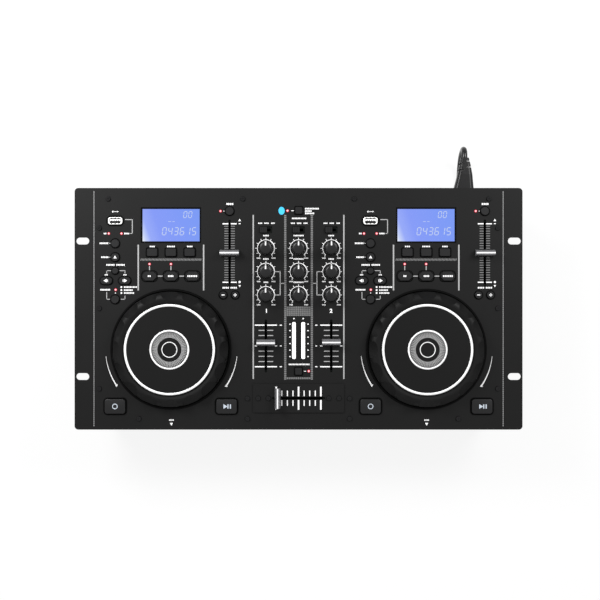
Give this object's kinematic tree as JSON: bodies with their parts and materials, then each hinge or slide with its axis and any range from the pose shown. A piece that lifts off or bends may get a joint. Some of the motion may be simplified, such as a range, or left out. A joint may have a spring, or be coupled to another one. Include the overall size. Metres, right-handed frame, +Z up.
{
  "type": "dual disc player with mixer",
  "caption": "Rack-width twin disc player with jog wheels, pitch faders, displays and a small mixer between the decks, on a shallow steel tub with a mains lead.",
  "frame": {"origin": "on the floor, below the middle of the top plate", "axes": "+X to the right of someone who faces the front edge, +Y from the front edge with the disc slots to the rear edge with the sockets, +Z up"},
  "size_m": [0.4826, 0.3108, 0.103],
  "materials": {
    "plate_paint": "satin",
    "tub_paint": "satin",
    "sheet_steel": "satin",
    "screw_steel": "gloss",
    "dark_plastic": "matte",
    "key_plastic": "matte",
    "jog_gloss": "gloss",
    "clear_plastic": "gloss",
    "display_blue": "gloss",
    "lamp_red": "gloss",
    "board": "satin",
    "rubber": "matte",
    "cord_vinyl": "satin"
  },
  "bodies": {
    "console": {"top_panel": "plate_paint", "chassis_tub": "tub_paint", "rubber_feet": "rubber", "panel_screws": "screw_steel", "jog_bezels": "dark_plastic", "crossfader_plate": "plate_paint", "display_windows": "clear_plastic", "display_modules": "display_blue", "indicator_lamps": "lamp_red", "circuit_boards": "board", "disc_drives": "sheet_steel", "slot_bezels": "dark_plastic", "rear_plate": "tub_paint", "sockets": "dark_plastic", "iec_connector": "cord_vinyl", "mains_lead": "cord_vinyl", "mains_lead_hank": "cord_vinyl", "mains_plug": "cord_vinyl"},
    "jog_left": {"jog_wheel_left": "dark_plastic", "jog_plate_left": "jog_gloss"},
    "disc_spindle_left": {"disc_spindle_left": "key_plastic"},
    "pitch_fader_left": {"pitch_fader_left": "key_plastic"},
    "jog_right": {"jog_wheel_right": "dark_plastic", "jog_plate_right": "jog_gloss"},
    "disc_spindle_right": {"disc_spindle_right": "key_plastic"},
    "pitch_fader_right": {"pitch_fader_right": "key_plastic"},
    "channel_fader_left": {"channel_fader_left": "key_plastic"},
    "channel_fader_right": {"channel_fader_right": "key_plastic"},
    "crossfader": {"crossfader": "key_plastic"},
    "knob_left_top": {"knob_left_top": "key_plastic"},
    "knob_left_centre": {"knob_left_centre": "key_plastic"},
    "knob_left_bottom": {"knob_left_bottom": "key_plastic"},
    "knob_middle_top": {"knob_middle_top": "key_plastic"},
    "knob_middle_centre": {"knob_middle_centre": "key_plastic"},
    "knob_middle_bottom": {"knob_middle_bottom": "key_plastic"},
    "knob_right_top": {"knob_right_top": "key_plastic"},
    "knob_right_centre": {"knob_right_centre": "key_plastic"},
    "knob_right_bottom": {"knob_right_bottom": "key_plastic"},
    "source_switch_left": {"source_switch_left": "key_plastic"},
    "cue_switch": {"cue_switch": "key_plastic"},
    "source_switch_right": {"source_switch_right": "key_plastic"},
    "cue_key_left": {"cue_key_left": "key_plastic"},
    "play_key_left": {"play_key_left": "key_plastic"},
    "pitch_key_left": {"pitch_key_left": "key_plastic"},
    "menu_keys_left": {"menu_keys_left": "key_plastic"},
    "search_keys_left": {"search_keys_left": "key_plastic"},
    "display_keys_left": {"display_keys_left": "key_plastic"},
    "loop_keys_left": {"loop_keys_left": "key_plastic"},
    "bend_keys_left": {"bend_keys_left": "key_plastic"},
    "cue_key_right": {"cue_key_right": "key_plastic"},
    "play_key_right": {"play_key_right": "key_plastic"},
    "pitch_key_right": {"pitch_key_right": "key_plastic"},
    "menu_keys_right": {"menu_keys_right": "key_plastic"},
    "search_keys_right": {"search_keys_right": "key_plastic"},
    "display_keys_right": {"display_keys_right": "key_plastic"},
    "loop_keys_right": {"loop_keys_right": "key_plastic"},
    "bend_keys_right": {"bend_keys_right": "key_plastic"},
    "pair_key": {"pair_key": "key_plastic"},
    "relay_key": {"relay_key": "key_plastic"},
    "power_rocker": {"power_rocker": "key_plastic"}
  },
  "joints": [
    {"name": "jog_left", "type": "hinge", "parent": "console", "child": "jog_left", "pos_m": [-0.1375, -0.0435, 0.09], "axis": [0, 0, 1], "continuous": true},
    {"name": "disc_spindle_left", "type": "hinge", "parent": "console", "child": "disc_spindle_left", "pos_m": [-0.1375, -0.0575, 0.045], "axis": [0, 0, 1], "continuous": true},
    {"name": "pitch_fader_left", "type": "slide", "parent": "console", "child": "pitch_fader_left", "axis": [0, 1, 0], "range_m": [-0.03, 0.03]},
    {"name": "jog_right", "type": "hinge", "parent": "console", "child": "jog_right", "pos_m": [0.1375, -0.0435, 0.09], "axis": [0, 0, 1], "continuous": true},
    {"name": "disc_spindle_right", "type": "hinge", "parent": "console", "child": "disc_spindle_right", "pos_m": [0.1375, -0.0575, 0.045], "axis": [0, 0, 1], "continuous": true},
    {"name": "pitch_fader_right", "type": "slide", "parent": "console", "child": "pitch_fader_right", "axis": [0, 1, 0], "range_m": [-0.03, 0.03]},
    {"name": "channel_fader_left", "type": "slide", "parent": "console", "child": "channel_fader_left", "axis": [0, 1, 0], "range_m": [-0.0259, 0.0191]},
    {"name": "channel_fader_right", "type": "slide", "parent": "console", "child": "channel_fader_right", "axis": [0, 1, 0], "range_m": [-0.0265, 0.0185]},
    {"name": "crossfader", "type": "slide", "parent": "console", "child": "crossfader", "axis": [1, 0, 0], "range_m": [0, 0.045]},
    {"name": "knob_left_top", "type": "hinge", "parent": "console", "child": "knob_left_top", "pos_m": [-0.0352, 0.0652, 0.09], "axis": [0, 0, 1], "range_deg": [-140, 140]},
    {"name": "knob_left_centre", "type": "hinge", "parent": "console", "child": "knob_left_centre", "pos_m": [-0.0352, 0.04, 0.09], "axis": [0, 0, 1], "range_deg": [-140, 140]},
    {"name": "knob_left_bottom", "type": "hinge", "parent": "console", "child": "knob_left_bottom", "pos_m": [-0.0352, 0.0149, 0.09], "axis": [0, 0, 1], "range_deg": [-140, 140]},
    {"name": "knob_middle_top", "type": "hinge", "parent": "console", "child": "knob_middle_top", "pos_m": [0, 0.0652, 0.09], "axis": [0, 0, 1], "range_deg": [-140, 140]},
    {"name": "knob_middle_centre", "type": "hinge", "parent": "console", "child": "knob_middle_centre", "pos_m": [0, 0.04, 0.09], "axis": [0, 0, 1], "range_deg": [-140, 140]},
    {"name": "knob_middle_bottom", "type": "hinge", "parent": "console", "child": "knob_middle_bottom", "pos_m": [0, 0.0149, 0.09], "axis": [0, 0, 1], "range_deg": [-140, 140]},
    {"name": "knob_right_top", "type": "hinge", "parent": "console", "child": "knob_right_top", "pos_m": [0.0352, 0.0652, 0.09], "axis": [0, 0, 1], "range_deg": [-140, 140]},
    {"name": "knob_right_centre", "type": "hinge", "parent": "console", "child": "knob_right_centre", "pos_m": [0.0352, 0.04, 0.09], "axis": [0, 0, 1], "range_deg": [-140, 140]},
    {"name": "knob_right_bottom", "type": "hinge", "parent": "console", "child": "knob_right_bottom", "pos_m": [0.0352, 0.0149, 0.09], "axis": [0, 0, 1], "range_deg": [-140, 140]},
    {"name": "source_switch_left", "type": "slide", "parent": "console", "child": "source_switch_left", "axis": [1, 0, 0], "range_m": [0, 0.0052]},
    {"name": "cue_switch", "type": "slide", "parent": "console", "child": "cue_switch", "axis": [1, 0, 0], "range_m": [0, 0.0052]},
    {"name": "source_switch_right", "type": "slide", "parent": "console", "child": "source_switch_right", "axis": [1, 0, 0], "range_m": [0, 0.0052]},
    {"name": "cue_key_left", "type": "slide", "parent": "console", "child": "cue_key_left", "axis": [0, 0, -1], "range_m": [0, 0.0015], "stiffness_N_per_m": 200, "springref_m": -0.002},
    {"name": "play_key_left", "type": "slide", "parent": "console", "child": "play_key_left", "axis": [0, 0, -1], "range_m": [0, 0.0015], "stiffness_N_per_m": 200, "springref_m": -0.002},
    {"name": "pitch_key_left", "type": "slide", "parent": "console", "child": "pitch_key_left", "axis": [0, 0, -1], "range_m": [0, 0.001], "stiffness_N_per_m": 200, "springref_m": -0.002},
    {"name": "menu_keys_left", "type": "slide", "parent": "console", "child": "menu_keys_left", "axis": [0, 0, -1], "range_m": [0, 0.001], "stiffness_N_per_m": 200, "springref_m": -0.002},
    {"name": "search_keys_left", "type": "slide", "parent": "console", "child": "search_keys_left", "axis": [0, 0, -1], "range_m": [0, 0.001], "stiffness_N_per_m": 200, "springref_m": -0.002},
    {"name": "display_keys_left", "type": "slide", "parent": "console", "child": "display_keys_left", "axis": [0, 0, -1], "range_m": [0, 0.001], "stiffness_N_per_m": 200, "springref_m": -0.002},
    {"name": "loop_keys_left", "type": "slide", "parent": "console", "child": "loop_keys_left", "axis": [0, 0, -1], "range_m": [0, 0.001], "stiffness_N_per_m": 200, "springref_m": -0.002},
    {"name": "bend_keys_left", "type": "slide", "parent": "console", "child": "bend_keys_left", "axis": [0, 0, -1], "range_m": [0, 0.001], "stiffness_N_per_m": 200, "springref_m": -0.002},
    {"name": "cue_key_right", "type": "slide", "parent": "console", "child": "cue_key_right", "axis": [0, 0, -1], "range_m": [0, 0.0015], "stiffness_N_per_m": 200, "springref_m": -0.002},
    {"name": "play_key_right", "type": "slide", "parent": "console", "child": "play_key_right", "axis": [0, 0, -1], "range_m": [0, 0.0015], "stiffness_N_per_m": 200, "springref_m": -0.002},
    {"name": "pitch_key_right", "type": "slide", "parent": "console", "child": "pitch_key_right", "axis": [0, 0, -1], "range_m": [0, 0.001], "stiffness_N_per_m": 200, "springref_m": -0.002},
    {"name": "menu_keys_right", "type": "slide", "parent": "console", "child": "menu_keys_right", "axis": [0, 0, -1], "range_m": [0, 0.001], "stiffness_N_per_m": 200, "springref_m": -0.002},
    {"name": "search_keys_right", "type": "slide", "parent": "console", "child": "search_keys_right", "axis": [0, 0, -1], "range_m": [0, 0.001], "stiffness_N_per_m": 200, "springref_m": -0.002},
    {"name": "display_keys_right", "type": "slide", "parent": "console", "child": "display_keys_right", "axis": [0, 0, -1], "range_m": [0, 0.001], "stiffness_N_per_m": 200, "springref_m": -0.002},
    {"name": "loop_keys_right", "type": "slide", "parent": "console", "child": "loop_keys_right", "axis": [0, 0, -1], "range_m": [0, 0.001], "stiffness_N_per_m": 200, "springref_m": -0.002},
    {"name": "bend_keys_right", "type": "slide", "parent": "console", "child": "bend_keys_right", "axis": [0, 0, -1], "range_m": [0, 0.001], "stiffness_N_per_m": 200, "springref_m": -0.002},
    {"name": "pair_key", "type": "slide", "parent": "console", "child": "pair_key", "axis": [0, 0, -1], "range_m": [0, 0.001], "stiffness_N_per_m": 200, "springref_m": -0.002},
    {"name": "relay_key", "type": "slide", "parent": "console", "child": "relay_key", "axis": [0, 0, -1], "range_m": [0, 0.001], "stiffness_N_per_m": 200, "springref_m": -0.002},
    {"name": "power_rocker", "type": "hinge", "parent": "console", "child": "power_rocker", "pos_m": [0.15, 0.11753, 0.05], "axis": [1, 0, 0], "range_deg": [-18, 0]}
  ]
}
